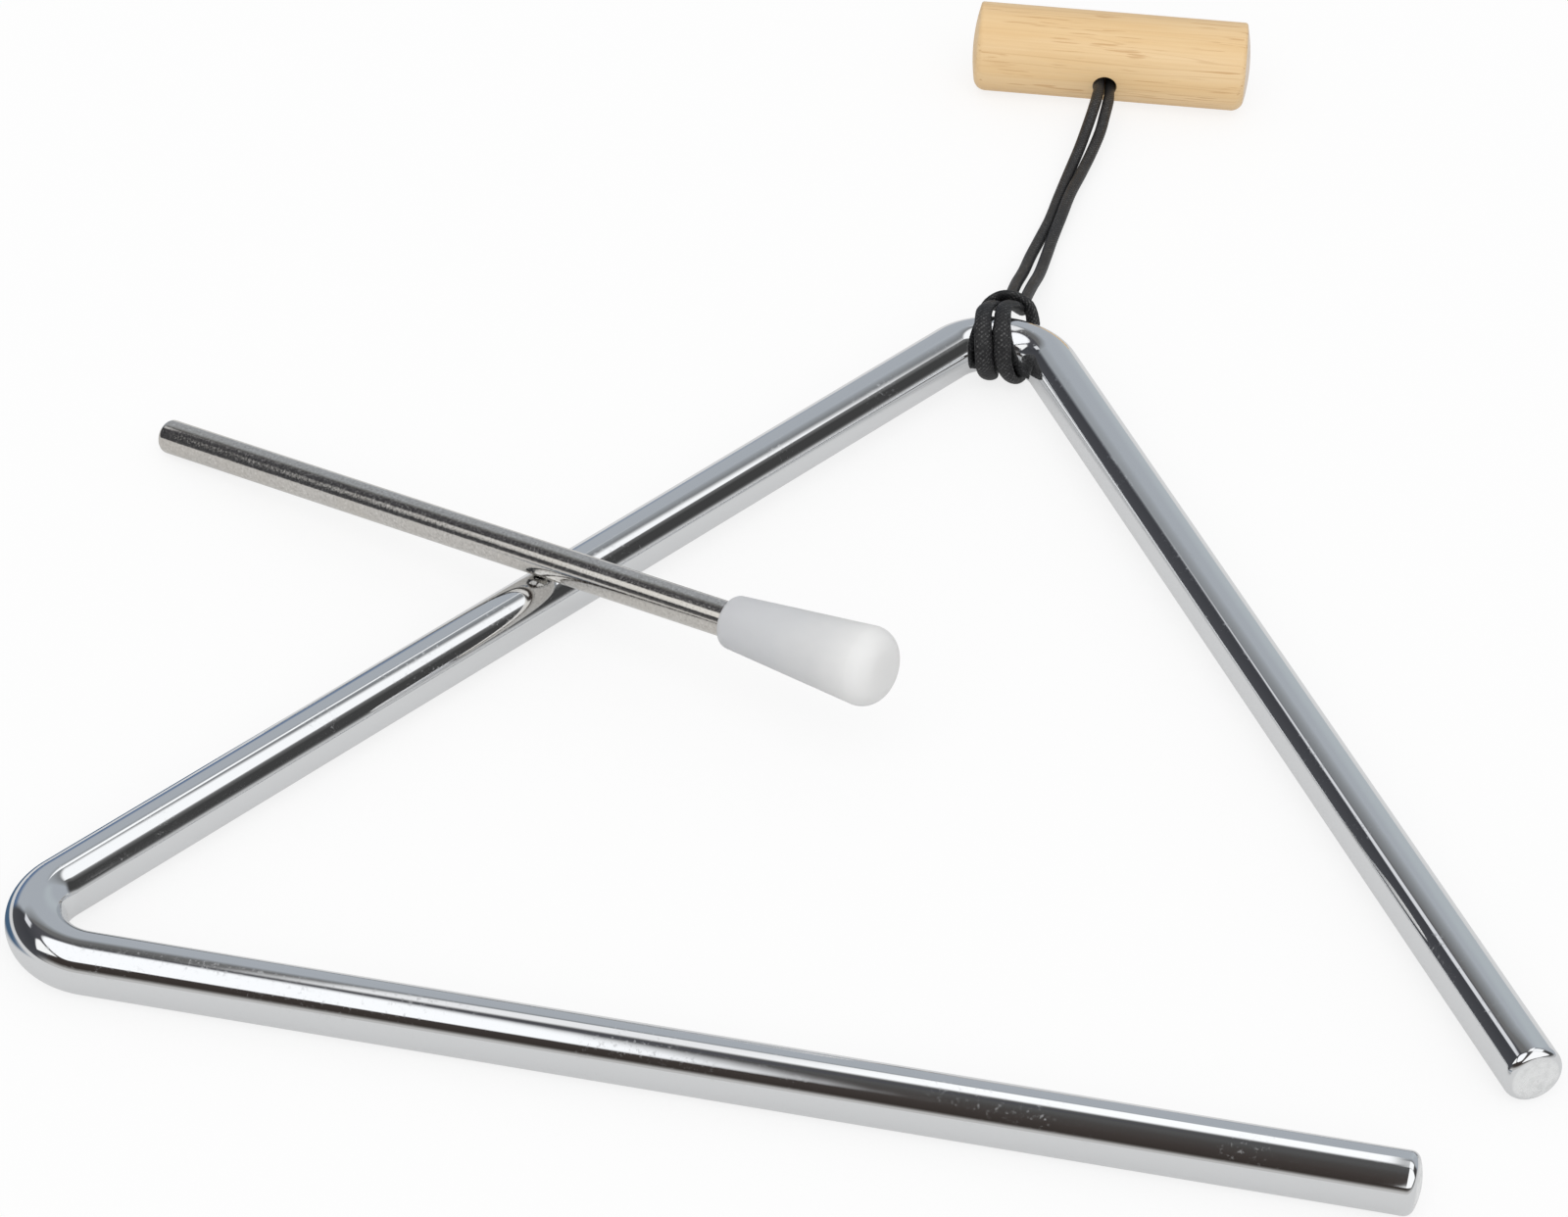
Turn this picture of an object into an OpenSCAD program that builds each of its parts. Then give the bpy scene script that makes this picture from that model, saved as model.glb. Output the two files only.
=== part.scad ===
// A steel triangle lying on a surface, with its cord, wooden handle and beater.
// X runs along the bottom limb, Y towards the handle, Z up from the surface.
// The origin is at the bottom centre of the box round the triangle, handle and beater.

/* [Triangle rod] */
// Diameter of the bent steel rod
rod_d = 7.8; // [6:0.1:10]
// Side of the triangle between the crossings of the limbs' centre lines
side = 202; // [180:1:230]
// Angle between two limbs
corner_angle = 60; // [55:1:65]
// Radius of the rod's centre line in a bend
bend_r = 8.6; // [8:0.1:14]
// Bottom limb, from the corner's crossing to its free end
bottom_limb = 177.4; // [150:0.1:180]
// Right limb, from the apex's crossing to its free end
right_limb = 176.6; // [150:0.1:180]
// Rounded edge at the rod's free ends
rod_end_round = 1.3; // [0.5:0.1:1.8]
// Height of the dome at the rod's free ends
rod_end_dome = 0.9; // [0.3:0.1:1.2]

/* [Beater] */
// Diameter of the beater's rod
beater_d = 4.8; // [4:0.1:6]
// Length of the beater's rod, the end inside the tip included
beater_rod_l = 116.25; // [100:0.25:130]
// Rounded edge at the beater's bare end
beater_end_round = 0.8; // [0.3:0.1:1.2]
// Height of the dome at the beater's bare end
beater_end_dome = 0.2; // [0.1:0.1:0.6]
// Length of the plastic tip
tip_l = 24.7; // [22:0.1:32]
// Depth of the rod's seat in the tip
tip_seat_l = 17; // [12:0.5:19]
// Radius of the tip at its shoulder
tip_shoulder_r = 3.6; // [3.4:0.1:4.4]
// Radius of the tip at its striking end
tip_end_r = 5.3; // [4.6:0.1:6]
// Rounding of the tip's shoulder
tip_shoulder_round = 0.9; // [0.5:0.1:1]
// Rounding of the tip's striking end
tip_end_round = 3; // [2:0.1:3.6]
// Distance from the beater's bare end to where it crosses the left limb
beater_rest = 67; // [60:1:75]
// Distance from the left corner's crossing to where the beater crosses
beater_cross = 101.2; // [90:0.1:110]
// Heading of the beater, seen from above
beater_heading = -25.1; // [-35:0.1:-15]

/* [Handle] */
// Diameter of the wooden handle
handle_d = 14; // [12:0.5:18]
// Length of the wooden handle
handle_l = 44; // [36:1:60]
// Rounded edge at the handle's ends
handle_edge = 1.2; // [0.5:0.1:2.5]
// Height of the sanded dome at each end
handle_dome = 0.9; // [0.3:0.1:1.5]
// Distance of the cross bore below the handle's middle
bore_drop = 2; // [0:0.1:2.5]
// Distance of the cross bore to the right of the handle's middle
bore_shift = -0.7; // [-3:0.1:3]
// Heading of the handle, seen from above
handle_heading = 6.5; // [0:0.5:15]
// Distance of the handle's middle to the right of the left corner's crossing
handle_x = 103.7; // [100:0.1:106]
// Distance of the handle's middle behind the bottom limb
handle_y = 253.6; // [252:0.1:256]

/* [Cord] */
// Diameter of the waxed cord
cord_d = 1.8; // [1.6:0.1:2.2]
// Diameter of the stopper knot behind the handle
knot_d = 5; // [4.8:0.1:6]
// Length of the stopper knot
knot_l = 5; // [4:0.1:7]
// Length of the two tails behind the knot
tail_l = 4; // [2:0.5:8]

/* [Hidden] */

// Roundness of the true curves
round_sides = 96;
// Overrun of every cut
cut = 1;
// How far the straight rod runs into a bend, and how much thinner than the bend it is
join = 0.3;
join_step = 0.02;

// Clearances: cord on rod, strand to strand in the hitch, and between moving pieces
hitch_clear = 0.15;
hitch_gap = 0.6;
rest_gap = 0.1;
swing_gap = 0.3;
bore_clear = 0.15;
strand_gap = 0.1;
// Share of the cord's diameter that is pressed flat under the rod
flat_share = 0.1;

rod_r = rod_d / 2;
limb_r = rod_r - join_step;
cord_r = cord_d / 2;
beater_r = beater_d / 2;
handle_r = handle_d / 2;
half_angle = corner_angle / 2;
bend_sweep = 180 - corner_angle;
// From a crossing of two centre lines to where the straight rod begins
bend_start = bend_r / tan(half_angle);
// From a crossing to the centre of its bend
bend_offset = bend_r / sin(half_angle);

apex = [side * cos(corner_angle), side * sin(corner_angle)];
apex_centre = [apex.x, apex.y - bend_offset];
right_heading = -corner_angle;

// The hitch passes under the rod, so the apex stands a little higher than the bottom limb
hitch_seat = rod_r + hitch_clear + cord_r;
hitch_reach = apex_centre.y + bend_r;
tilt = asin((hitch_clear + cord_d * (1 - flat_share)) / hitch_reach);

// The cord's hitch, a lark's head. Each row is one station of a strand: the middle of the pair
// on the bend in degrees, the strand's distance from that middle in half pitches, the angle
// round the rod from its outer side, and the reach from the rod's middle as a share of the seat.
hitch_pitch = cord_d + hitch_gap;
hitch_shares = [
    [92.5, 1.04, 8, 1.49],
    [92, 1.04, 18, 1.18],
    [94.5, 1.06, 31, 1.03],
    [98.5, 1.1, 50, 1],
    [102.5, 1.08, 75, 1],
    [104.5, 1.03, 100, 1],
    [106, 1, 125, 1],
    [107, 1, 152, 1],
    [107.5, 1, 180, 1],
    [104, 1.1, 208, 1],
    [97, 1.3, 235, 1],
    [92, 1.55, 262, 1],
    [90, 1.95, 285, 1],
    [90.5, 2.6, 310, 1],
    [92, 3.1, 335, 1],
    [93, 3.3, 357, 1.02],
    [94, 3.4, 373, 1.22],
    [94, 3.05, 383, 1.48],
    [93, 1.6, 387, 1.6],
];
hitch_bar_share = [93, 0, 391, 1.56];
hitch_steps = 2;
hitch_sides = 6;

// The free stretches of the cord, from the hitch over the surface to the handle, measured from
// the left corner's crossing
left_leg_route = [
    [99.2, 178.5, 5.3], [99.3, 182.5, 4.4], [99.3, 187.5, 3.2], [99.6, 193, 2.1],
    [99.8, 199, 1.3], [100.3, 205, 0.9], [100.9, 211, 0.9], [101.2, 218, 0.9],
    [101.7, 225, 1.4], [102.3, 231, 2.4], [102.7, 236, 3.5], [103, 240, 4.6], [103.1, 243.5, 5.2],
];
right_leg_route = [
    [101.6, 178.5, 5.3], [101.6, 182.5, 4.4], [101.7, 187.5, 3.2], [102, 193, 2.1],
    [102.1, 199, 1.5], [102.2, 205, 1.3], [102.6, 211, 1.8], [102.9, 218, 1.8],
    [103.6, 225, 1.7], [104.3, 231, 2.2], [104.8, 236, 3], [104.9, 240, 3.9], [104.9, 243.5, 4.5],
];
leg_steps = 1;
leg_sides = 8;
// Angles of the rings on a leg's ball end, from its pole
ball_angles = [15, 40, 65];

// The beater leans on the left limb: its pitch follows from where it rests
cross_height = rod_r + beater_cross * sin(corner_angle) * sin(tilt);
function lean(angle, passes) = passes == 0 ? angle
    : lean(asin((cross_height + (rod_r + rest_gap + beater_r) / cos(angle) - beater_r) / beater_rest),
           passes - 1);
beater_pitch = lean(0, 4);
limb_way = [cos(corner_angle), sin(corner_angle) * cos(tilt), sin(corner_angle) * sin(tilt)];
beater_way = [cos(beater_pitch) * cos(beater_heading), cos(beater_pitch) * sin(beater_heading),
              sin(beater_pitch)];
limb_to_beater = unit(cross(beater_way, limb_way)) * (rod_r + rest_gap + beater_r);
beater_start = [0, 0, rod_r] + limb_way * beater_cross + limb_to_beater - beater_way * beater_rest;

// The handle's bore, which both legs pass through
bore_d = 2 * cord_d + strand_gap + 2 * bore_clear;
bore_height = handle_r - bore_drop;
// Half of the way from one strand to the other in the bore, across and up
strand_half = (cord_d + strand_gap) / 2;
strand_slope = -25;
knot_start = handle_r + swing_gap;
knot_round = 1.2;

// The box round the rigid pieces, whose bottom centre is the origin
rod_end = apex.x + (right_limb - cap_l(limb_r, rod_end_round, rod_end_dome)) * cos(right_heading);
box_right = rod_end + (limb_r - rod_end_round) * sin(corner_angle) + rod_end_round;
box_left = beater_start.x + cap_l(beater_r, beater_end_round, beater_end_dome) * beater_way.x
    - beater_end_round - (beater_r - beater_end_round) * sqrt(1 - pow(beater_way.x, 2));
box_front = -rod_r;
box_back = handle_y + (handle_r - handle_edge) * cos(handle_heading)
    + (handle_l / 2 - cap_l(handle_r, handle_edge, handle_dome)) * sin(handle_heading) + handle_edge;
box_middle = [(box_left + box_right) / 2, (box_front + box_back) / 2, 0];

function unit(v) = v / norm(v);

// The radius of a dome over the whole end of a bar, and the length of the rounded end under it
function dome_r(radius, dome) = (pow(radius, 2) + pow(dome, 2)) / (2 * dome);
function cap_l(radius, edge, dome) = dome_r(radius, dome)
    - sqrt(pow(dome_r(radius, dome) - edge, 2) - pow(radius - edge, 2));

// A point of the triangle's own plane, in the frame of the surface
function tilted(p) = [p.x, p.y * cos(tilt) - p.z * sin(tilt),
                      p.y * sin(tilt) + p.z * cos(tilt) + rod_r];

// One station of the hitch: side_sign is 1 for the right strand and -1 for the left
function hitch_point(row, side_sign) =
    let (rho = row[3] * hitch_seat,
         radius = bend_r + rho * cos(row[2]),
         turn = row[0] - side_sign * asin(row[1] * hitch_pitch / 2 / radius))
    tilted([apex_centre.x + radius * cos(turn), apex_centre.y + radius * sin(turn), rho * sin(row[2])]);

// A smooth curve through the points, with the given steps between two of them
function curve(points, steps) =
    let (last = len(points) - 1)
    concat([for (i = [0 : last - 1], k = [0 : steps - 1])
        let (t = k / steps,
             p0 = points[max(i - 1, 0)], p1 = points[i], p2 = points[i + 1],
             p3 = points[min(i + 2, last)])
        (2 * p1 + (p2 - p0) * t + (2 * p0 - 5 * p1 + 4 * p2 - p3) * pow(t, 2)
         + (3 * p1 - p0 - 3 * p2 + p3) * pow(t, 3)) / 2],
        [points[last]]);

function heading_at(path, i) = unit(path[min(i + 1, len(path) - 1)] - path[max(i - 1, 0)]);

// One side direction for each point, carried along the path without twist
function carried(path) =
    let (first = heading_at(path, 0),
         start = unit(cross(first, abs(first.z) < 0.9 ? [0, 0, 1] : [1, 0, 0])))
    [for (i = 0, n = start; i < len(path);
          i = i + 1,
          n = i < len(path) ? unit(n - heading_at(path, i) * (n * heading_at(path, i))) : n) n];

// A closed tube along the path, with a radius for each of its points
module tube(path, radii, sides) {
    side_ways = carried(path);
    count = len(path);
    points = [for (i = [0 : count - 1])
        let (way = heading_at(path, i), up = cross(way, side_ways[i]))
        for (k = [0 : sides - 1])
            path[i] + radii[i] * (side_ways[i] * cos(360 * k / sides) + up * sin(360 * k / sides))];
    walls = [for (i = [0 : count - 2], k = [0 : sides - 1])
        let (a = i * sides + k, b = i * sides + (k + 1) % sides)
        each [[a, a + sides, b], [b, a + sides, b + sides]]];
    ends = [for (k = [1 : sides - 2])
        each [[0, k, k + 1],
              [(count - 1) * sides, (count - 1) * sides + k + 1, (count - 1) * sides + k]]];
    polyhedron(points, concat(walls, ends));
}

// Moves a piece from the frame at the left corner's crossing to the part's own frame
module placed() {
    translate(-box_middle) children();
}

// A round bar along Z from zero, with a dome at its far end and a rounded edge under the dome
module bar(radius, length, edge, dome) {
    big_r = dome_r(radius, dome);
    straight_l = length - cap_l(radius, edge, dome);
    meet_r = (radius - edge) * big_r / (big_r - edge);
    rotate_extrude($fn = round_sides) union() {
        square([radius, straight_l]);
        translate([radius - edge, straight_l]) circle(edge, $fn = round_sides);
        intersection() {
            translate([0, length - big_r]) circle(big_r, $fn = 2 * round_sides);
            square([meet_r, length]);
        }
    }
}

// One bend of the rod, with its middle at the origin, from the given angle on
module bend(from_angle) {
    rotate([0, 0, from_angle]) rotate_extrude(angle = bend_sweep, $fn = round_sides)
        translate([bend_r, 0]) circle(rod_r, $fn = round_sides);
}

// Sets a straight piece along Z before the start of a bend, or after its end
module before_bend(from_angle) {
    rotate([0, 0, from_angle]) translate([bend_r, join, 0]) rotate([90, 0, 0]) children();
}

module after_bend(from_angle) {
    rotate([0, 0, from_angle + bend_sweep]) translate([bend_r, -join, 0]) rotate([-90, 0, 0]) children();
}

module triangle_rod() {
    corner_bend = half_angle + bend_sweep;
    color([0.78, 0.79, 0.81]) placed() translate([0, 0, rod_r]) rotate([tilt, 0, 0]) union() {
        translate([bend_offset * cos(half_angle), bend_offset * sin(half_angle), 0]) {
            bend(corner_bend);
            after_bend(corner_bend)
                bar(limb_r, bottom_limb - bend_start + join, rod_end_round, rod_end_dome);
            before_bend(corner_bend)
                cylinder(r = limb_r, h = side - 2 * bend_start + 2 * join, $fn = round_sides);
        }
        translate([apex_centre.x, apex_centre.y, 0]) {
            bend(half_angle);
            before_bend(half_angle)
                bar(limb_r, right_limb - bend_start + join, rod_end_round, rod_end_dome);
        }
    }
}

// Sets a piece along Z onto the beater's axis, from its bare end on
module along_beater() {
    placed() translate(beater_start) rotate([0, 0, beater_heading]) rotate([0, 90 - beater_pitch, 0])
        children();
}

module beater_rod() {
    color([0.72, 0.69, 0.64]) along_beater()
        translate([0, 0, beater_rod_l]) mirror([0, 0, 1])
            bar(beater_r, beater_rod_l, beater_end_round, beater_end_dome);
}

// Points on a quarter of a circle round the middle, from one angle to another
function quarter(middle, radius, from_angle, to_angle, steps) =
    [for (k = [0 : steps]) let (a = from_angle + (to_angle - from_angle) * k / steps)
        middle + radius * [cos(a), sin(a)]];

module beater_tip() {
    outline = concat(
        [[0, 0]],
        quarter([tip_shoulder_r - tip_shoulder_round, tip_shoulder_round], tip_shoulder_round, -90, 0, 6),
        quarter([tip_end_r - tip_end_round, tip_l - tip_end_round], tip_end_round, 0, 90, 12),
        [[0, tip_l]]);
    color([0.88, 0.89, 0.89]) along_beater() translate([0, 0, beater_rod_l - tip_seat_l]) difference() {
        rotate_extrude($fn = round_sides) polygon(outline);
        translate([0, 0, -cut]) cylinder(r = beater_r, h = tip_seat_l + cut, $fn = round_sides);
    }
}

// Sets a piece onto the middle of the handle's bore, with X along the handle
module at_bore() {
    placed() translate([handle_x, handle_y, bore_height]) rotate([0, 0, handle_heading])
        translate([bore_shift, 0, 0]) children();
}

module wooden_handle() {
    color([0.91, 0.78, 0.58]) at_bore() difference() {
        translate([-bore_shift, 0, bore_drop]) union() {
            rotate([0, 90, 0]) bar(handle_r, handle_l / 2, handle_edge, handle_dome);
            rotate([0, -90, 0]) bar(handle_r, handle_l / 2, handle_edge, handle_dome);
        }
        rotate([90, 0, 0]) cylinder(d = bore_d, h = 2 * (handle_r + cut), center = true, $fn = round_sides);
    }
}

// The hitch runs from the right leg round the rod, over both legs as the bar, and back
hitch_stations = concat(
    [for (row = hitch_shares) hitch_point(row, 1)],
    [hitch_point(hitch_bar_share, 1)],
    [for (i = [len(hitch_shares) - 1 : -1 : 0]) hitch_point(hitch_shares[i], -1)]);
hitch_path = curve(hitch_stations, hitch_steps);

module cord_hitch() {
    radii = [for (p = hitch_path) cord_r];
    color([0.1, 0.1, 0.1]) placed() difference() {
        tube(hitch_path, radii, hitch_sides);
        translate([apex_centre.x, apex_centre.y + bend_r, -bend_r])
            cube([4 * bend_r, 4 * bend_r, 2 * bend_r], center = true);
    }
}

// The hitch's least gap to itself, between points more than a few rings apart
far_apart = 8;
hitch_least = min([for (i = [0 : len(hitch_path) - 1], j = [0 : len(hitch_path) - 1])
    if (j - i > far_apart) norm(hitch_path[i] - hitch_path[j])]) - cord_d;
echo(hitch_least_gap = hitch_least);

// The legs begin with a ball on the swing's axis, clear of the hitch's ends
swing_out = cord_r + swing_gap;
function leg_start(side_sign) =
    let (first = hitch_point(hitch_shares[0], side_sign), next = hitch_point(hitch_shares[1], side_sign))
    first + unit(first - next) * swing_out;
function leg_way(side_sign) =
    unit(hitch_point(hitch_shares[0], side_sign) - hitch_point(hitch_shares[1], side_sign));

// A point in the bore's own frame, in the frame at the left corner's crossing
function from_bore(p) = let (along = p.x + bore_shift)
    [handle_x + along * cos(handle_heading) - p.y * sin(handle_heading),
     handle_y + along * sin(handle_heading) + p.y * cos(handle_heading),
     bore_height + p.z];

// One leg: its ball end, its route, and its straight way through the bore to the knot
module leg(side_sign, route) {
    start = leg_start(side_sign);
    way = leg_way(side_sign);
    ball = [for (a = ball_angles) start - way * cord_r * cos(a)];
    across = side_sign * strand_half * cos(strand_slope);
    up = side_sign * strand_half * sin(strand_slope);
    through = [for (y = [-handle_r, 0, knot_start]) from_bore([across, y, up])];
    path = concat(ball, curve(concat([start], route, through), leg_steps));
    radii = concat([for (a = ball_angles) cord_r * sin(a)], [for (i = [len(ball) : len(path) - 1]) cord_r]);
    color([0.12, 0.12, 0.12]) placed() tube(path, radii, leg_sides);
}

module cord_leg_left() {
    leg(-1, left_leg_route);
}

module cord_leg_right() {
    leg(1, right_leg_route);
}

// The stopper knot, with its two tails beside each other
module cord_knot() {
    color([0.09, 0.09, 0.09]) at_bore() rotate([-90, 0, 0]) translate([0, 0, knot_start]) union() {
        rotate_extrude($fn = round_sides) union() {
            square([knot_d / 2 - knot_round, knot_l]);
            translate([0, knot_round]) square([knot_d / 2, knot_l - 2 * knot_round]);
            for (z = [knot_round, knot_l - knot_round])
                translate([knot_d / 2 - knot_round, z]) circle(knot_round, $fn = round_sides);
        }
        for (s = [-1, 1])
            translate([s * strand_half, 0, 0]) cylinder(r = cord_r, h = knot_l + tail_l, $fn = round_sides / 2);
    }
}

triangle_rod();
beater_rod();
beater_tip();
wooden_handle();
cord_hitch();
cord_leg_left();
cord_leg_right();
cord_knot();
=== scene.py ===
"""The looks of a steel triangle with its cord, wooden handle and beater."""

import math

import bmesh
import bpy
from mathutils import Euler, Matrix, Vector


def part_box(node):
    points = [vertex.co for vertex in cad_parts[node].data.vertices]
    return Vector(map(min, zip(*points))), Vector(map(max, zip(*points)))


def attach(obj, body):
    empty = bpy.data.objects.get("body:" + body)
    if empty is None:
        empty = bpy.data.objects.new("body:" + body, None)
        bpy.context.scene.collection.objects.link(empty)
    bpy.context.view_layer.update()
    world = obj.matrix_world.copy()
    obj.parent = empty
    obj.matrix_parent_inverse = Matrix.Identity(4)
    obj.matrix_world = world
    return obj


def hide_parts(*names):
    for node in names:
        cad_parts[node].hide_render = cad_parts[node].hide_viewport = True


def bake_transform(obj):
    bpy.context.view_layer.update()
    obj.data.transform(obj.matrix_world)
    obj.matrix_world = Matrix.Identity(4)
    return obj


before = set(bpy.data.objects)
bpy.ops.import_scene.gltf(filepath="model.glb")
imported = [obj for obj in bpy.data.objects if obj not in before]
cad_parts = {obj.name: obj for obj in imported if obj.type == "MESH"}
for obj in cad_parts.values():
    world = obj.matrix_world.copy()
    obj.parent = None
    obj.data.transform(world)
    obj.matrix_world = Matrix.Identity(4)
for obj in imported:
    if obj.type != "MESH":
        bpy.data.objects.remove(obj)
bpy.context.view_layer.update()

# Millimetres to metres
MM = 0.001

# Driving sizes in millimetres, as in the part's source
ROD_R = 3.9
SIDE = 202.0
CORNER_ANGLE = 60.0
BEND_R = 8.6
BOTTOM_LIMB = 177.4
RIGHT_LIMB = 176.6
ROD_END_ROUND = 1.3
ROD_END_DOME = 0.9
TILT = 0.6097
BEATER_R = 2.4
BEATER_ROD_L = 116.25
BEATER_END_ROUND = 0.8
BEATER_END_DOME = 0.2
BEATER_START = Vector((-10.3, 116.18, 2.286))
BEATER_WAY = Vector((0.897562, -0.420449, 0.132682))
TIP_L = 24.7
TIP_SEAT_L = 17.0
TIP_SHOULDER_R = 3.6
TIP_END_R = 5.3
TIP_SHOULDER_ROUND = 0.9
TIP_END_ROUND = 3.0
HANDLE_R = 7.0
HANDLE_L = 44.0
HANDLE_EDGE = 1.2
HANDLE_DOME = 0.9
BORE_HEIGHT = 5.0
BORE_SHIFT = -0.7
HANDLE_HEADING = 6.5
HANDLE_AT = Vector((103.7, 253.6))
CORD_R = 0.9
STRAND_GAP = 0.1
STRAND_SLOPE = -25.0
SWING_GAP = 0.3

HALF_ANGLE = math.radians(CORNER_ANGLE / 2)
BEND_SWEEP = math.radians(180 - CORNER_ANGLE)
BEND_START = BEND_R / math.tan(HALF_ANGLE)
BEND_OFFSET = BEND_R / math.sin(HALF_ANGLE)
APEX = Vector((SIDE / 2, SIDE * math.sin(math.radians(CORNER_ANGLE))))
# Which way each limb runs: the right and the bottom one to their free ends, the left one up to the
# closed corner
RIGHT_WAY = Vector((math.cos(-2 * HALF_ANGLE), math.sin(-2 * HALF_ANGLE)))
LEFT_WAY = Vector((math.cos(2 * HALF_ANGLE), math.sin(2 * HALF_ANGLE)))
BOTTOM_WAY = Vector((1, 0))
RIGHT_END = APEX + RIGHT_WAY * RIGHT_LIMB
BOTTOM_END = BOTTOM_WAY * BOTTOM_LIMB
APEX_CENTRE = Vector((APEX.x, APEX.y - BEND_OFFSET))
HEADING = math.radians(HANDLE_HEADING)
HANDLE_WAY = Vector((math.cos(HEADING), math.sin(HEADING), 0))

# The left corner's crossing of the centre lines, found from the rod's box
ROD_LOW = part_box("triangle_rod")[0]
CORNER = Vector((ROD_LOW[0] - (BEND_OFFSET * math.cos(HALF_ANGLE) - BEND_R - ROD_R) * MM,
                 ROD_LOW[1] + ROD_R * MM, 0.0))


def place(point):
    """A point in millimetres from the left corner, as metres in the part's frame."""
    return CORNER + Vector(point) * MM


def tilted(x, y, z=0.0):
    """A point of the triangle's own plane, in millimetres from the left corner."""
    tilt = math.radians(TILT)
    return Vector((x, y * math.cos(tilt) - z * math.sin(tilt),
                   y * math.sin(tilt) + z * math.cos(tilt) + ROD_R))


# Camera
CAMERA_AT = (172.65, -453.8, 396.53)
CAMERA_TURN = (54.7432, -2.7123, 11.2613)
IMAGE_W = 1600
FOCAL_PX = 5161.72
SENSOR_W = 36.0

camera = bpy.data.objects.new("camera", bpy.data.cameras.new("camera"))
bpy.context.scene.collection.objects.link(camera)
camera.location = place(CAMERA_AT)
camera.rotation_euler = Euler([math.radians(a) for a in CAMERA_TURN])
camera.data.sensor_width = SENSOR_W
camera.data.lens = FOCAL_PX * SENSOR_W / IMAGE_W
camera.data.clip_start = 0.01
camera.data.clip_end = 20.0
bpy.context.scene.camera = camera


def add_object(name, mesh):
    obj = bpy.data.objects.new(name, mesh)
    bpy.context.scene.collection.objects.link(obj)
    for polygon in mesh.polygons:
        polygon.use_smooth = True
    return obj


def ring_mesh(name, rings):
    """A mesh from rings of points, each joined to the next, with a fan over each end."""
    mesh = bpy.data.meshes.new(name)
    sides = len(rings[0])
    points = [p for ring in rings for p in ring]
    faces = []
    for i in range(len(rings) - 1):
        for k in range(sides):
            a, b = i * sides + k, i * sides + (k + 1) % sides
            faces.append((a, b, b + sides, a + sides))
    for ring, turn in ((0, -1), (len(rings) - 1, 1)):
        points.append(sum((Vector(p) for p in rings[ring]), Vector()) / sides)
        for k in range(sides):
            edge = (ring * sides + k, ring * sides + (k + 1) % sides)
            faces.append((*edge[::turn], len(points) - 1))
    mesh.from_pydata([tuple(p) for p in points], [], faces)
    mesh.update()
    return mesh


# Pieces that a curve is cut into between two of its points, before it is measured
CURVE_PARTS = 40


def smooth_path(points, step):
    """A Catmull-Rom curve through the points, cut into steps of one length."""
    last = len(points) - 1
    dense = []
    for i in range(last):
        p0, p1 = points[max(i - 1, 0)], points[i]
        p2, p3 = points[i + 1], points[min(i + 2, last)]
        for k in range(CURVE_PARTS):
            t = k / CURVE_PARTS
            dense.append((2 * p1 + (p2 - p0) * t + (2 * p0 - 5 * p1 + 4 * p2 - p3) * t ** 2
                          + (3 * p1 - p0 - 3 * p2 + p3) * t ** 3) / 2)
    dense.append(points[last])
    return even_path(dense, step)


def even_path(dense, step):
    """Points along a polyline at one even distance, near the given step."""
    lengths = [0.0]
    for a, b in zip(dense, dense[1:]):
        lengths.append(lengths[-1] + (b - a).length)
    count = max(2, round(lengths[-1] / step))
    path, j = [], 0
    for i in range(count + 1):
        goal = lengths[-1] * i / count
        while j < len(dense) - 2 and lengths[j + 1] < goal:
            j += 1
        share = (goal - lengths[j]) / max(lengths[j + 1] - lengths[j], 1e-12)
        path.append(dense[j].lerp(dense[j + 1], min(max(share, 0.0), 1.0)))
    return path


def path_length(path):
    return sum((b - a).length for a, b in zip(path, path[1:]))


def headings(path):
    last = len(path) - 1
    return [(path[min(i + 1, last)] - path[max(i - 1, 0)]).normalized() for i in range(last + 1)]


def carried_sides(path):
    """One side direction for each point, carried along the path without twist."""
    ways = headings(path)
    first = Vector((0, 0, 1)) if abs(ways[0].z) < 0.9 else Vector((1, 0, 0))
    side = ways[0].cross(first).normalized()
    sides = []
    for way in ways:
        side = (side - way * side.dot(way)).normalized()
        sides.append(side)
    return sides


# Braid of the cord: strands each way round, the length of one strand's turn, the depth of the gaps,
# how round a strand is across, how far it dips where it goes under, and the mesh's sides and step
BRAID_STRANDS = 10
BRAID_PITCH = 6.0
BRAID_RELIEF = 0.06
BRAID_ROUND = 0.9
BRAID_DIP = 0.38
BRAID_SIDES = 44
BRAID_STEP = 0.13
# A cut end: its rings, and its height as a share of the radius
END_RINGS = 6
END_DOME = 0.7


def braid_height(turn, along):
    """Height of the braid's surface, from 0 in the gaps to 1 on the strands."""
    u = BRAID_STRANDS * (turn + along / BRAID_PITCH)
    v = BRAID_STRANDS * (turn - along / BRAID_PITCH)
    over = (math.floor(u) + math.floor(v)) % 2 == 0
    across, forward = (u, v) if over else (v, u)
    across = 2 * (across - math.floor(across)) - 1
    forward = 2 * (forward - math.floor(forward)) - 1
    crown = math.sqrt(max(0.0, 1 - BRAID_ROUND * across ** 2))
    return crown * (1 - BRAID_DIP + BRAID_DIP * math.cos(forward * math.pi / 2))


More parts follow.
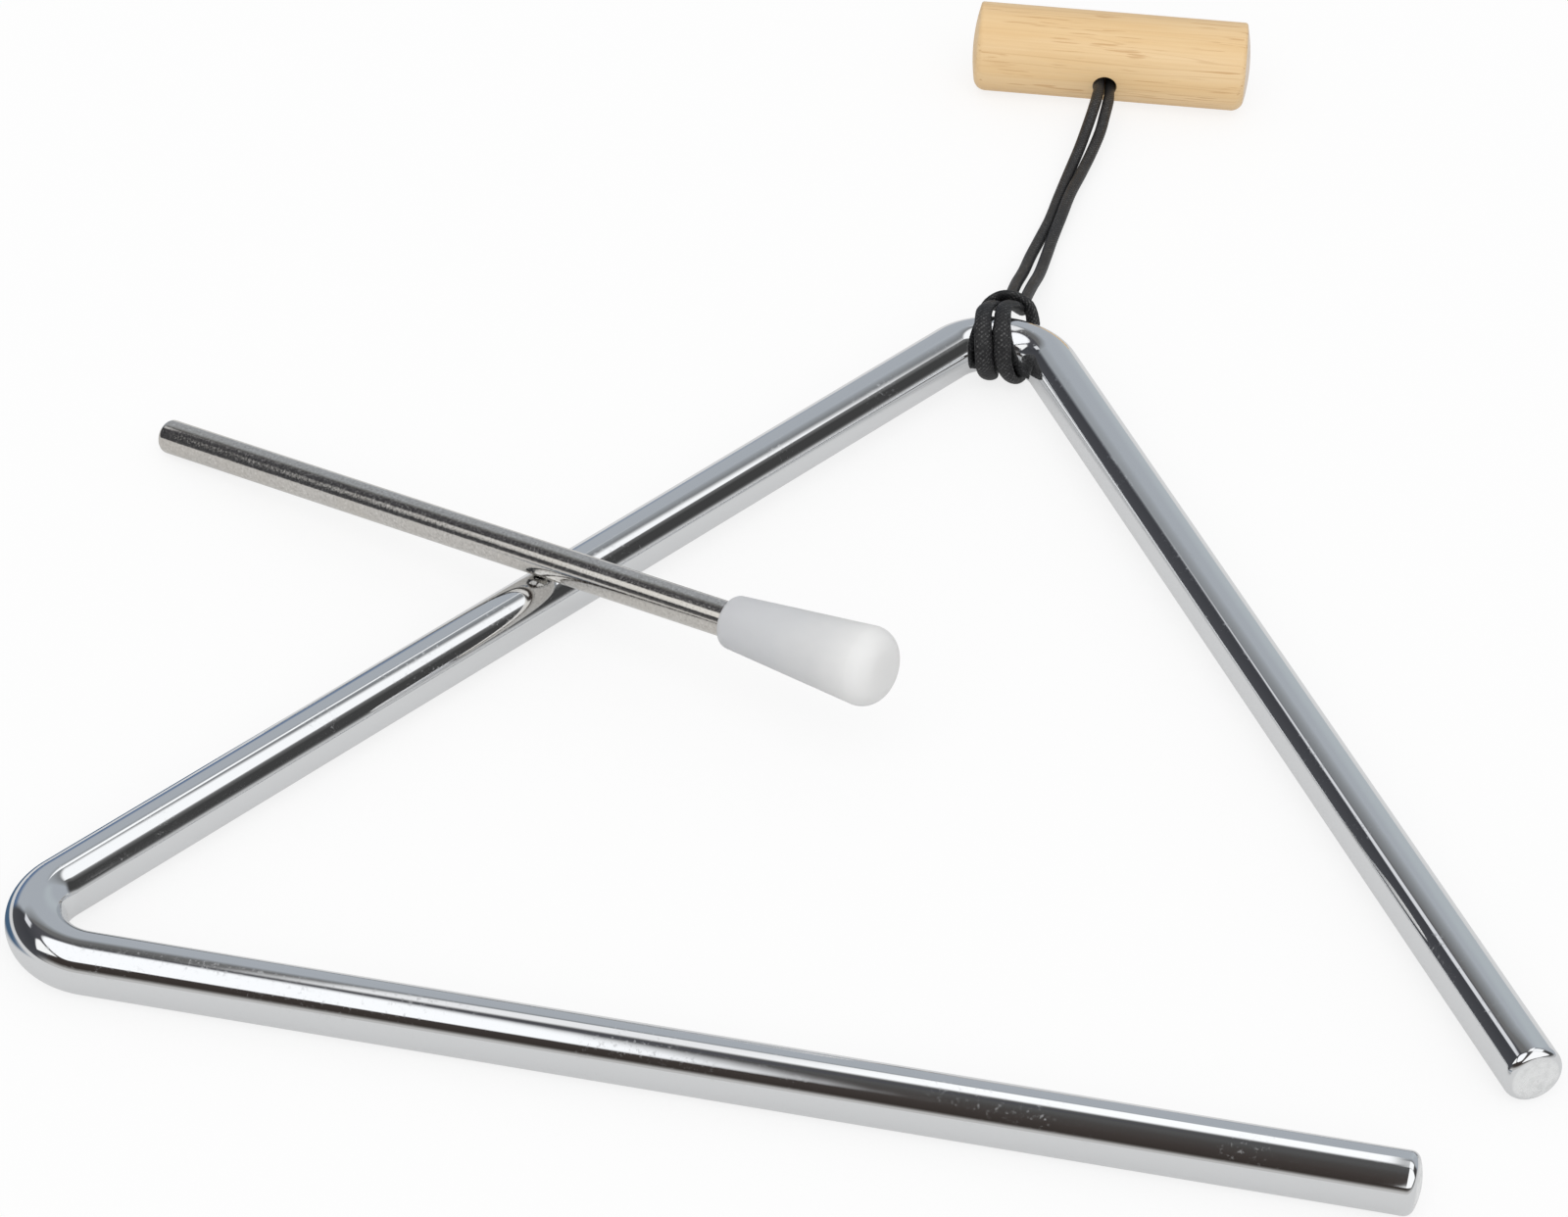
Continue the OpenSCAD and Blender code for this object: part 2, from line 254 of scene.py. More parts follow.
def braided_cord(name, stations, flats=None, ups=None):
    """A tube of waxed braid with rounded ends, through stations in millimetres.

    A station's fourth number scales the radius across. flats scales it along the up directions.
    """
    path = [station.to_3d() for station in stations]
    ways = headings(path)
    sides = carried_sides(path)
    rings, heights = [], []
    along = 0.0
    for i, point in enumerate(path):
        if i:
            along += (point - path[i - 1]).length
        up = ways[i].cross(sides[i]) if ups is None else ups[i]
        up = (up - ways[i] * up.dot(ways[i])).normalized()
        side = up.cross(ways[i]).normalized()
        wide = stations[i].w
        flat = flats[i] if flats else wide
        ring = []
        for k in range(BRAID_SIDES):
            turn = k / BRAID_SIDES
            angle = 2 * math.pi * turn
            heights.append(braid_height(turn, along))
            radius = CORD_R - BRAID_RELIEF * (1 - heights[-1])
            ring.append(point + side * radius * wide * math.cos(angle)
                        + up * radius * flat * math.sin(angle))
        rings.append(ring)
    bare = [0.0] * (END_RINGS * BRAID_SIDES)
    rings = (end_rings(rings[0], path[0], -ways[0])[::-1] + rings
             + end_rings(rings[-1], path[-1], ways[-1]))
    mesh = ring_mesh(name, [[place(p) for p in ring] for ring in rings])
    crowns = mesh.attributes.new("braid", "FLOAT", "POINT")
    crowns.data.foreach_set("value", bare + heights + bare + [0.0, 0.0])
    return mesh


def end_rings(ring, middle, way):
    """Rings that close a cord's cut end as a low dome."""
    rings = []
    for k in range(1, END_RINGS + 1):
        angle = math.pi / 2 * k / (END_RINGS + 0.5)
        rise = way * CORD_R * END_DOME * math.sin(angle)
        rings.append([middle + (p - middle) * math.cos(angle) + rise for p in ring])
    return rings


# The hitch, a lark's head, wider and flatter than the free cord. Each row is a station of one
# strand: the middle of the pair on the bend in degrees, the distance from that middle in half
# pitches, the angle round the rod from its outer side, the reach from the rod's middle as a share
# of the seat, and its width where that isn't HITCH_WIDE. The right strand passes over the left one
# before it dives under the bar.
HITCH_SEAT = 4.7
HITCH_PITCH = 2.4
HITCH_WIDE = 1.24
HITCH_FLAT = 0.78
RIGHT_STRAND = (
    (92.5, 1.25, 15.5, 1.55), (93, 1.1, 25, 1.38), (94.5, 0.95, 39, 1.29), (98, 0.85, 56, 1.21),
    (102.5, 1, 77, 1.1, 1.32), (104.5, 1.03, 100, 1.02, 1.38), (106, 0.95, 125, 1, 1.46),
    (107, 0.99, 152, 1, 1.48), (107.5, 1.2, 180, 1, 1.48), (104, 1.7, 208, 1, 1.42),
    (97, 1.95, 235, 1, 1.35), (92, 2.1, 262, 1), (90, 2.3, 285, 1), (90.5, 2.65, 310, 1),
    (92, 3.05, 335, 1), (93, 3.25, 357, 1.04), (94, 3.25, 373, 1.28), (94, 2.6, 383, 1.56),
    (93, 1.3, 388, 1.66),
)
LEFT_STRAND = (
    (92.5, 1.04, 8, 1.49), (92, 1.04, 20, 1.36), (94.5, 1.06, 35, 1.25), (98.5, 1.17, 52, 1.18),
    (102.5, 1.28, 75, 1.07, 1.35), (104.5, 1.32, 100, 1.01, 1.4), (106, 1.32, 125, 1, 1.5),
    (107, 1.25, 152, 1, 1.62), (107.5, 1.05, 180, 1, 1.62), (104, 0.72, 208, 1, 1.5),
    (97, 0.8, 235, 1, 1.35), (92, 1.25, 262, 1), (90, 1.75, 285, 1), (90.5, 2.2, 310, 1),
    (92, 2.6, 335, 1), (93, 2.75, 357, 1.04), (94, 2.65, 373, 1.26), (94, 2.15, 383, 1.5),
    (93, 1.3, 388, 1.66),
)
HITCH_BAR = (93, 0, 392, 1.68)
# Length over which a strand of the hitch turns round again at its end
HITCH_EASE = 1.5


def hitch_station(row, sign):
    """A station of the hitch with its width; sign is 1 for the right strand and -1 for the left."""
    return Vector((*hitch_point(row, sign), row[4] if len(row) > 4 else HITCH_WIDE))


def hitch_point(row, sign):
    angle = math.radians(row[2])
    rho = row[3] * HITCH_SEAT
    radius = BEND_R + rho * math.cos(angle)
    turn = math.radians(row[0]) - sign * math.asin(row[1] * HITCH_PITCH / 2 / radius)
    return tilted(APEX_CENTRE.x + radius * math.cos(turn),
                  APEX_CENTRE.y + radius * math.sin(turn), rho * math.sin(angle))


def rod_middle_near(point):
    """The nearest point of the apex bend's centre line."""
    flat = Vector((point.x - APEX_CENTRE.x, point.y - APEX_CENTRE.y)).normalized() * BEND_R
    return tilted(APEX_CENTRE.x + flat.x, APEX_CENTRE.y + flat.y)


def end_shares(path, ease):
    """For each point, 0 at the path's ends and 1 from the ease length on."""
    count = len(path) - 1
    step = path_length(path) / count
    shares = []
    for i in range(count + 1):
        share = min(min(i, count - i) * step / ease, 1.0)
        shares.append(share * share * (3 - 2 * share))
    return shares


def hitch_mesh():
    stations = ([hitch_station(row, 1) for row in RIGHT_STRAND] + [hitch_station(HITCH_BAR, 1)]
                + [hitch_station(row, -1) for row in reversed(LEFT_STRAND)])
    path = smooth_path(stations, BRAID_STEP)
    flats = []
    for station, share in zip(path, end_shares(path, HITCH_EASE)):
        station.w = 1 + (station.w - 1) * share
        flats.append(1 + (HITCH_FLAT - 1) * share)
    ups = [station.to_3d() - rod_middle_near(station) for station in path]
    return braided_cord("braided_hitch", path, flats, ups)


hitch = add_object("braided_hitch", hitch_mesh())
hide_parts("cord_hitch")
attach(hitch, "triangle")

# The two legs, from the hitch over the surface to the handle, in millimetres from the left corner
LEFT_LEG_ROUTE = (
    (99.2, 178.5, 5.3), (99.3, 182.5, 4.4), (99.3, 187.5, 3.2), (99.6, 193, 2.1),
    (99.8, 199, 1.3), (100.3, 205, 0.9), (100.9, 211, 0.9), (101.2, 218, 0.9),
    (101.7, 225, 1.4), (102.3, 231, 2.4), (102.7, 236, 3.5), (103, 240, 4.6), (103.1, 243.5, 5.2),
)
RIGHT_LEG_ROUTE = (
    (101.6, 178.5, 5.3), (101.6, 182.5, 4.4), (101.7, 187.5, 3.2), (102, 193, 2.1),
    (102.1, 199, 1.5), (102.2, 205, 1.3), (102.6, 211, 1.8), (102.9, 218, 1.8),
    (103.6, 225, 1.7), (104.3, 231, 2.2), (104.8, 236, 3), (104.9, 240, 3.9), (104.9, 243.5, 4.5),
)
# How far the knot lies behind the middle of the handle's bore
KNOT_START = HANDLE_R + SWING_GAP
# The strands' width where the bore squeezes them together
BORE_SQUEEZE = 0.88


def from_bore(x, y, z):
    """A point in the bore's own frame, X along the handle, in millimetres from the left corner."""
    along = x + BORE_SHIFT
    return Vector((HANDLE_AT.x + along * math.cos(HEADING) - y * math.sin(HEADING),
                   HANDLE_AT.y + along * math.sin(HEADING) + y * math.cos(HEADING), BORE_HEIGHT + z))


def with_width(points, width=1.0):
    return [Vector((*point, width)) for point in points]


def strand_place(sign):
    """Where one strand lies in the bore, across and up from its middle."""
    half = CORD_R + STRAND_GAP / 2
    slope = math.radians(STRAND_SLOPE)
    return sign * half * math.cos(slope), sign * half * math.sin(slope)


def leg_points(sign, route):
    across, up = strand_place(sign)
    strand = RIGHT_STRAND if sign > 0 else LEFT_STRAND
    first, second = hitch_point(strand[0], sign), hitch_point(strand[1], sign)
    start = first + (first - second).normalized() * (CORD_R + SWING_GAP)
    return (with_width([first, start, *route])
            + with_width([from_bore(across, y, up) for y in (-HANDLE_R, 0, KNOT_START)],
                         BORE_SQUEEZE))


# The knot behind the handle, by distance across, behind KNOT_START and up: the left strand goes
# through its middle, the right one winds round that, and each ends in a tail
KNOT_OVERLAP = 0.2
KNOT_CORE_IN = (0.2, 1.2)
KNOT_CORE = ((0, 2.4, 0), (0, 3.6, 0), (0, 4.8, 0), (-0.5, 6.6, -0.4), (-1.3, 8.4, -1.2))
KNOT_TAIL = ((1.5, 7, -1), (1.7, 8.6, -1.8))
KNOT_TURNS = 3
KNOT_TURN_L = 1.48
KNOT_TURN_STEPS = 12
KNOT_FIRST_TURN = CORD_R * 1.35


def knot_paths():
    def behind(x, y, z):
        return from_bore(x, KNOT_START + y, z)

    left_x, left_z = strand_place(-1)
    right_x, right_z = strand_place(1)
    share, depth = KNOT_CORE_IN
    core = [behind(left_x, -KNOT_OVERLAP, left_z), behind(left_x * share, depth, left_z * share)]
    core += [behind(*point) for point in KNOT_CORE]
    wrap = [behind(right_x, -KNOT_OVERLAP, right_z)]
    start = math.atan2(right_z, right_x)
    for k in range(KNOT_TURNS * KNOT_TURN_STEPS + 1):
        angle = start + 2 * math.pi * k / KNOT_TURN_STEPS
        reach = KNOT_FIRST_TURN + KNOT_TURN_L * k / KNOT_TURN_STEPS
        wrap.append(behind(2 * CORD_R * math.cos(angle), reach, 2 * CORD_R * math.sin(angle)))
    wrap += [behind(*point) for point in KNOT_TAIL]
    return with_width(core), with_width(wrap)


knot_meshes = [braided_cord("knot_part", smooth_path(points, BRAID_STEP))
               for points in knot_paths()]
joined = bmesh.new()
for knot_mesh in knot_meshes:
    joined.from_mesh(knot_mesh)
knot_mesh = bpy.data.meshes.new("braided_knot")
joined.to_mesh(knot_mesh)
joined.free()
knot = add_object("braided_knot", knot_mesh)
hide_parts("cord_knot")
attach(knot, "cord")

# Where a leg would pass from the triangle's body to the swinging cord's, along Y in millimetres; the
# points there are worked out and not used
SWING_START_Y = 174.2
SWING_END_Y = 176.5
TOLD_EVERY = 6
cords = [hitch, knot]
for leg_name, node_name, leg_sign, leg_route in (
        ("braided_leg_left", "cord_leg_left", -1, LEFT_LEG_ROUTE),
        ("braided_leg_right", "cord_leg_right", 1, RIGHT_LEG_ROUTE)):
    leg_stations = smooth_path(leg_points(leg_sign, leg_route), BRAID_STEP)
    leg_path = [station.to_3d() for station in leg_stations]
    leg = add_object(leg_name, braided_cord(leg_name, leg_stations))
    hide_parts(node_name)
    swing_point = leg_points(leg_sign, leg_route)[1]
    place((swing_point.x, SWING_START_Y, swing_point.z))
    place((swing_point.x, SWING_END_Y, swing_point.z))
    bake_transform(leg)
    place(leg_path[0])
    path_length(leg_path) * MM
    [place(p) for p in leg_path[::TOLD_EVERY] + leg_path[-1:]]
    cords.append(leg)


# Rings on the dome of a bar's end, and as many on its rounded edge
CAP_STEPS = 10


def cap_profile(radius, edge, dome):
    """The end of a round bar as distance from its tip and radius, from the middle outwards."""
    big = (radius ** 2 + dome ** 2) / (2 * dome)
    depth = big - math.sqrt((big - edge) ** 2 - (radius - edge) ** 2)
    meet = (radius - edge) * big / (big - edge)
    profile = []
    for k in range(1, CAP_STEPS + 1):
        r = meet * k / CAP_STEPS
        profile.append((big - math.sqrt(big ** 2 - r ** 2), r))
    first = math.asin((radius - edge) / (big - edge))
    for k in range(1, CAP_STEPS + 1):
        angle = first + (math.pi / 2 - first) * k / CAP_STEPS
        profile.append((depth - edge * math.cos(angle), radius - edge + edge * math.sin(angle)))
    return profile


# The rod: its mesh's sides, and its rings along the limbs and round the bends
ROD_SIDES = 128
LIMB_STEP = 4.0
BEND_STEPS = 60
# The turned ends' centre mark, as distance from the tip and radius
CENTRE_MARK = ((0.1, 0.08), (0.02, 0.2))


def rod_stations():
    """Centre, heading and radius of each ring, from the right free end round to the bottom one."""
    stations = []
    cap = list(CENTRE_MARK) + cap_profile(ROD_R, ROD_END_ROUND, ROD_END_DOME)
    cap_depth = cap[-1][0]
    stations += [(RIGHT_END - RIGHT_WAY * depth, -RIGHT_WAY, r) for depth, r in cap]
    stations += straight(RIGHT_END - RIGHT_WAY * cap_depth, APEX + RIGHT_WAY * BEND_START)
    stations += bend(APEX_CENTRE, HALF_ANGLE)
    stations += straight(APEX - LEFT_WAY * BEND_START, LEFT_WAY * BEND_START)
    centre = Vector((math.cos(HALF_ANGLE), math.sin(HALF_ANGLE))) * BEND_OFFSET
    stations += bend(centre, HALF_ANGLE + BEND_SWEEP)
    stations += straight(BOTTOM_WAY * BEND_START, BOTTOM_END - BOTTOM_WAY * cap_depth)
    stations += [(BOTTOM_END - BOTTOM_WAY * depth, BOTTOM_WAY, r) for depth, r in reversed(cap)]
    return stations


def straight(start, end):
    way = (end - start).normalized()
    count = round((end - start).length / LIMB_STEP)
    return [(start.lerp(end, k / count), way, ROD_R) for k in range(1, count)]


def bend(centre, from_angle):
    stations = []
    for k in range(BEND_STEPS + 1):
        angle = from_angle + BEND_SWEEP * k / BEND_STEPS
        out = Vector((math.cos(angle), math.sin(angle)))
        stations.append((centre + out * BEND_R, Vector((-out.y, out.x)), ROD_R))
    return stations


def rod_rings():
    rings = []
    up = tilted(0, 0, 1) - tilted(0, 0, 0)
    for centre, way, radius in rod_stations():
        out = Vector((way.y, -way.x))
        ring = []
        for k in range(ROD_SIDES):
            angle = 2 * math.pi * k / ROD_SIDES
            flat = centre + out * radius * math.cos(angle)
            ring.append(place(tilted(flat.x, flat.y) + up * radius * math.sin(angle)))
        rings.append(ring)
    return rings


rod = add_object("chrome_rod", ring_mesh("chrome_rod", rod_rings()))
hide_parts("triangle_rod")
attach(rod, "triangle")


def turned(name, profile, start, way, sides):
    """A turned piece along an axis, from rows of distance along it and radius."""
    first = way.orthogonal().normalized()
    second = way.cross(first)
    rings = []
    for along, radius in profile:
        rings.append([place(start + way * along + (first * math.cos(a) + second * math.sin(a)) * radius)
                      for a in (2 * math.pi * k / sides for k in range(sides))])
    return add_object(name, ring_mesh(name, rings))


# Beater: its rod, and the plastic tip pushed onto it
BEATER_SIDES = 96
BEATER_STEP = 4
beater_profile = cap_profile(BEATER_R, BEATER_END_ROUND, BEATER_END_DOME)
beater_profile += [(depth, BEATER_R) for depth in range(BEATER_STEP, int(BEATER_ROD_L), BEATER_STEP)]
beater_profile.append((BEATER_ROD_L, BEATER_R))
beater = turned("plated_beater_rod", beater_profile, BEATER_START, BEATER_WAY, BEATER_SIDES)
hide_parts("beater_rod")
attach(beater, "beater")


def arc(middle, radius, from_angle, to_angle, steps):
    """Points on an arc, as distance along the axis and radius."""
    points = []
    for k in range(steps + 1):
        angle = math.radians(from_angle + (to_angle - from_angle) * k / steps)
        points.append((middle[0] + radius * math.sin(angle), middle[1] + radius * math.cos(angle)))
    return points


# The tip's mesh: the ring round its middle, the round of the seat's mouth, and steps
TIP_MIDDLE_R = 0.4
TIP_MOUTH_ROUND = 0.3
TIP_MOUTH_STEPS = 4
TIP_SHOULDER_STEPS = 8
TIP_BODY_STEPS = 12
TIP_END_STEPS = 18
TIP_START = BEATER_START + BEATER_WAY * (BEATER_ROD_L - TIP_SEAT_L)


def tip_profile():
    """From the bottom of the seat out over the shoulder to the striking end."""
    profile = [(TIP_SEAT_L, TIP_MIDDLE_R), (TIP_SEAT_L, BEATER_R), (TIP_MOUTH_ROUND, BEATER_R)]
    mouth = arc((TIP_MOUTH_ROUND, BEATER_R + TIP_MOUTH_ROUND), -TIP_MOUTH_ROUND, 0, 90, TIP_MOUTH_STEPS)
    profile += mouth[::-1][1:]
    profile += arc((TIP_SHOULDER_ROUND, TIP_SHOULDER_R - TIP_SHOULDER_ROUND),
                   TIP_SHOULDER_ROUND, -90, 0, TIP_SHOULDER_STEPS)
    end = arc((TIP_L - TIP_END_ROUND, TIP_END_R - TIP_END_ROUND), TIP_END_ROUND, 0, 90, TIP_END_STEPS)
    start_along, start_r = profile[-1]
    body = [(start_along + (end[0][0] - start_along) * k / TIP_BODY_STEPS,
             start_r + (end[0][1] - start_r) * k / TIP_BODY_STEPS) for k in range(1, TIP_BODY_STEPS)]
    return profile + body + end + [(TIP_L, TIP_MIDDLE_R)]


tip = turned("plastic_tip", tip_profile(), TIP_START, BEATER_WAY, BEATER_SIDES)
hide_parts("beater_tip")
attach(tip, "beater")


# Handle: its sawn ends are sharp at the top of the far side and worn round at the front. The edge's
# round goes EDGE_CHANGE up and down round its middle value, and is least at SHARPEST_TURN degrees.
HANDLE_SIDES = 160
HANDLE_STEP = 1.5
EDGE_CHANGE = 0.75
SHARPEST_TURN = 61.0
# The bore's profile, as distance along it and radius, worn wider at the mouths
BORE_HALF = ((0, 1.78), (5.4, 1.78), (6.1, 1.82), (6.7, 1.9), (7.3, 2.1), (8.5, 2.8))
BORE_SIDES = 64
# Faces that meet at more than this many degrees keep a sharp edge
SHARP_ANGLE = 35.0


def handle_mesh():
    back = Vector((-HANDLE_WAY.y, HANDLE_WAY.x, 0))
    middle = Vector((*HANDLE_AT, HANDLE_R))
    columns = []
    for k in range(HANDLE_SIDES):
        angle = 2 * math.pi * k / HANDLE_SIDES
        edge = HANDLE_EDGE - EDGE_CHANGE * math.cos(angle - math.radians(SHARPEST_TURN))
        cap = cap_profile(HANDLE_R, edge, HANDLE_DOME)
        length = HANDLE_L - 2 * cap[-1][0]
        count = round(HANDLE_L / HANDLE_STEP)
        rows = [(depth - HANDLE_L / 2, r) for depth, r in cap]
        rows += [(length * (i / count - 0.5), HANDLE_R) for i in range(1, count)]
        rows += [(HANDLE_L / 2 - depth, r) for depth, r in reversed(cap)]
        out = back * math.cos(angle) + Vector((0, 0, math.sin(angle)))
        columns.append([place(middle + HANDLE_WAY * x + out * r) for x, r in rows])
    return ring_mesh("turned_handle", list(zip(*columns)))


def bored_handle():
    piece = add_object("turned_handle", handle_mesh())
    profile = [(-y, r) for y, r in reversed(BORE_HALF[1:])] + list(BORE_HALF)
    way = from_bore(0, 1, 0) - from_bore(0, 0, 0)
    cutter = turned("bore", profile, from_bore(0, 0, 0), way, BORE_SIDES)
    cut = piece.modifiers.new("bore", "BOOLEAN")
    cut.operation = "DIFFERENCE"
    cut.solver = "EXACT"
    cut.object = cutter
    bpy.context.view_layer.update()
    graph = bpy.context.evaluated_depsgraph_get()
    mesh = bpy.data.meshes.new_from_object(piece.evaluated_get(graph))
    piece.modifiers.clear()
    piece.data = mesh
    bpy.data.objects.remove(cutter)
    for polygon in mesh.polygons:
        polygon.use_smooth = True
    mesh.set_sharp_from_angle(angle=math.radians(SHARP_ANGLE))
    return piece


handle = bored_handle()
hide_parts("wooden_handle")
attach(handle, "handle")


# Materials
def add_node(tree, kind, **settings):
    node = tree.nodes.new(kind)
    for key, value in settings.items():
        setattr(node, key, value)
    return node


def feed(tree, socket, value):
    """Sets a socket to a number or colour, or links another node's output to it."""
    if isinstance(value, bpy.types.NodeSocket):
        tree.links.new(value, socket)
    elif socket.type == "RGBA" and len(value) == 3:
        socket.default_value = (*value, 1.0)
    else:
        socket.default_value = value


def maths(tree, operation, *values, clamp=False):
    node = add_node(tree, "ShaderNodeMath", operation=operation, use_clamp=clamp)
    for socket, value in zip(node.inputs, values):
        feed(tree, socket, value)
    return node.outputs[0]


def times(tree, first, *others):
    """The product of two or more values."""
    for value in others:
        first = maths(tree, "MULTIPLY", first, value)
    return first


def remap(tree, value, from_low, from_high, to_low=0.0, to_high=1.0):
    """A soft step from one range to another."""
    node = add_node(tree, "ShaderNodeMapRange", interpolation_type="SMOOTHSTEP")
    for key, setting in (("Value", value), ("From Min", from_low), ("From Max", from_high),
                         ("To Min", to_low), ("To Max", to_high)):
        feed(tree, node.inputs[key], setting)
    return node.outputs["Result"]


# The colour sockets of a mix node, whose names its other sockets have too
MIX_FIRST, MIX_SECOND, MIX_RESULT = 6, 7, 2


def mix_colour(tree, factor, first, second):
    node = add_node(tree, "ShaderNodeMix", data_type="RGBA")
    feed(tree, node.inputs["Factor"], factor)
    feed(tree, node.inputs[MIX_FIRST], first)
    feed(tree, node.inputs[MIX_SECOND], second)
    return node.outputs[MIX_RESULT]


def grey(level):
    return (level,) * 3


def ramp(tree, factor, stops):
    """A colour ramp from rows of position and colour."""
    node = add_node(tree, "ShaderNodeValToRGB")
    elements = node.color_ramp.elements
    while len(elements) > 1:
        elements.remove(elements[-1])
    elements[0].position = stops[0][0]
    elements[0].color = (*stops[0][1], 1.0)
    for position, colour in stops[1:]:
        elements.new(position).color = (*colour, 1.0)
    feed(tree, node.inputs["Fac"], factor)
    return node.outputs["Color"]


def noise(tree, vector, scale, detail=2.0, roughness=0.5):
    node = add_node(tree, "ShaderNodeTexNoise")
    for key, value in (("Vector", vector), ("Scale", scale), ("Detail", detail),
                       ("Roughness", roughness)):
        feed(tree, node.inputs[key], value)
    return node.outputs["Fac"]


def object_place(tree):
    return add_node(tree, "ShaderNodeTexCoord").outputs["Object"]


def facing(tree, way):
    """How far the surface faces one way, from -1 to 1."""
    node = add_node(tree, "ShaderNodeVectorMath", operation="DOT_PRODUCT")
    feed(tree, node.inputs[0], add_node(tree, "ShaderNodeTexCoord").outputs["Normal"])
    node.inputs[1].default_value = tuple(way)
    return node.outputs["Value"]


def split_xyz(tree, vector):
    node = add_node(tree, "ShaderNodeSeparateXYZ")
    feed(tree, node.inputs[0], vector)
    return node.outputs


def new_material(name):
    material = bpy.data.materials.new(name)
    material.use_nodes = True
    return material, material.node_tree, material.node_tree.nodes["Principled BSDF"]


def local_place(tree, origin, x_axis, stretch=(1, 1, 1)):
    """Object coordinates turned so that X runs along the piece, in millimetres, then stretched."""
    x_axis = Vector(x_axis).normalized()
    y_axis = Vector((0, 0, 1)).cross(x_axis).normalized()
    z_axis = x_axis.cross(y_axis)
    shift = add_node(tree, "ShaderNodeVectorMath", operation="SUBTRACT")
    feed(tree, shift.inputs[0], object_place(tree))
    shift.inputs[1].default_value = tuple(origin)
    out = add_node(tree, "ShaderNodeCombineXYZ")
    for i, axis in enumerate((x_axis, y_axis, z_axis)):
        dot = add_node(tree, "ShaderNodeVectorMath", operation="DOT_PRODUCT")
        feed(tree, dot.inputs[0], shift.outputs[0])
        dot.inputs[1].default_value = tuple(axis / MM * stretch[i])
        feed(tree, out.inputs[i], dot.outputs["Value"])
    return out.outputs[0]


def bump(tree, height, distance, strength=1.0, normal=None):
    node = add_node(tree, "ShaderNodeBump")
    node.inputs["Strength"].default_value = strength
    node.inputs["Distance"].default_value = distance
    feed(tree, node.inputs["Height"], height)
    if normal is not None:
        feed(tree, node.inputs["Normal"], normal)
    return node.outputs["Normal"]


# Where the flat of an end stops: by how squarely it faces outwards, and by millimetres past the
# rod's radius from the end's middle
END_FACING = (0.88, 0.97)
END_PAST = (1.0, 0.5)


def end_face(tree, coords, end, way):
    """1 on the flat of one end of the rod, 0 elsewhere."""
    reach = add_node(tree, "ShaderNodeVectorMath", operation="DISTANCE")
    feed(tree, reach.inputs[0], coords)
    reach.inputs[1].default_value = tuple(place(tilted(*end)))
    outwards = facing(tree, tilted(*way) - tilted(0, 0))
    return times(tree, remap(tree, outwards, *END_FACING),
                 remap(tree, reach.outputs["Value"], *((ROD_R + past) * MM for past in END_PAST)))


# The polished rod, and the pale and dull spots on its ground ends
CHROME = (0.79, 0.8, 0.81)
GROUND_PALE = (0.97, 0.98, 0.98)
GROUND_DULL = (0.85, 0.86, 0.86)


def chrome_material():
    material, tree, shader = new_material("polished_chrome")
    shader.inputs["Metallic"].default_value = 1.0
    coords = object_place(tree)
    smear = remap(tree, noise(tree, coords, 60.0, 3.0), 0.35, 0.75, 0.04, 0.065)
    pits = remap(tree, noise(tree, coords, 1700.0, 3.0, 0.6), 0.5, 0.72)
    clusters = remap(tree, noise(tree, coords, 110.0, 2.0), 0.44, 0.62)
    polish = maths(tree, "ADD", smear, times(tree, pits, clusters, 0.17))
    waves = bump(tree, noise(tree, coords, 170.0, 1.0), 0.00006, 0.1)

    # The two free ends are ground, not polished
    ground = maths(tree, "ADD", end_face(tree, coords, RIGHT_END, RIGHT_WAY),
                   end_face(tree, coords, BOTTOM_END, BOTTOM_WAY))
    spots = noise(tree, coords, 900.0, 3.0)
    ground_colour = mix_colour(tree, remap(tree, spots, 0.4, 0.7), GROUND_PALE, GROUND_DULL)
    feed(tree, shader.inputs["Base Color"], mix_colour(tree, ground, CHROME, ground_colour))
    feed(tree, shader.inputs["Roughness"], maths(tree, "ADD", polish, times(tree, ground, 0.22)))
    feed(tree, shader.inputs["Normal"], bump(tree, times(tree, spots, ground), 0.00012, 0.5, waves))
    return material


# Colours by the height of a speck, and the stain over them
NICKEL = ((0.36, (0.52, 0.5, 0.475)), (0.46, (0.63, 0.61, 0.58)), (0.58, (0.65, 0.63, 0.6)),
          (0.7, (0.8, 0.78, 0.75)))
NICKEL_STAIN = (0.6, 0.56, 0.5)


def nickel_material():
    material, tree, shader = new_material("bright_nickel")
    shader.inputs["Metallic"].default_value = 1.0
    coords = object_place(tree)
    specks = noise(tree, coords, 2600.0, 2.0, 0.7)
    stained = remap(tree, noise(tree, coords, 90.0, 3.0), 0.4, 0.65, 0.0, 0.25)
    colour = mix_colour(tree, stained, ramp(tree, specks, NICKEL), NICKEL_STAIN)
    feed(tree, shader.inputs["Base Color"], colour)
    feed(tree, shader.inputs["Roughness"], remap(tree, specks, 0.4, 0.75, 0.09, 0.2))
    feed(tree, shader.inputs["Normal"], bump(tree, specks, 0.00004, 0.14))
    return material


# Colours along the tip, from its seat to its striking end, lighter towards the end as painted light
PLASTIC_AND_PAINTED_LIGHT = ((0.04, (0.63, 0.64, 0.665)), (0.4, (0.65, 0.66, 0.675)), (0.62, (0.7, 0.705, 0.71)),
           (0.9, (0.79, 0.79, 0.785)))


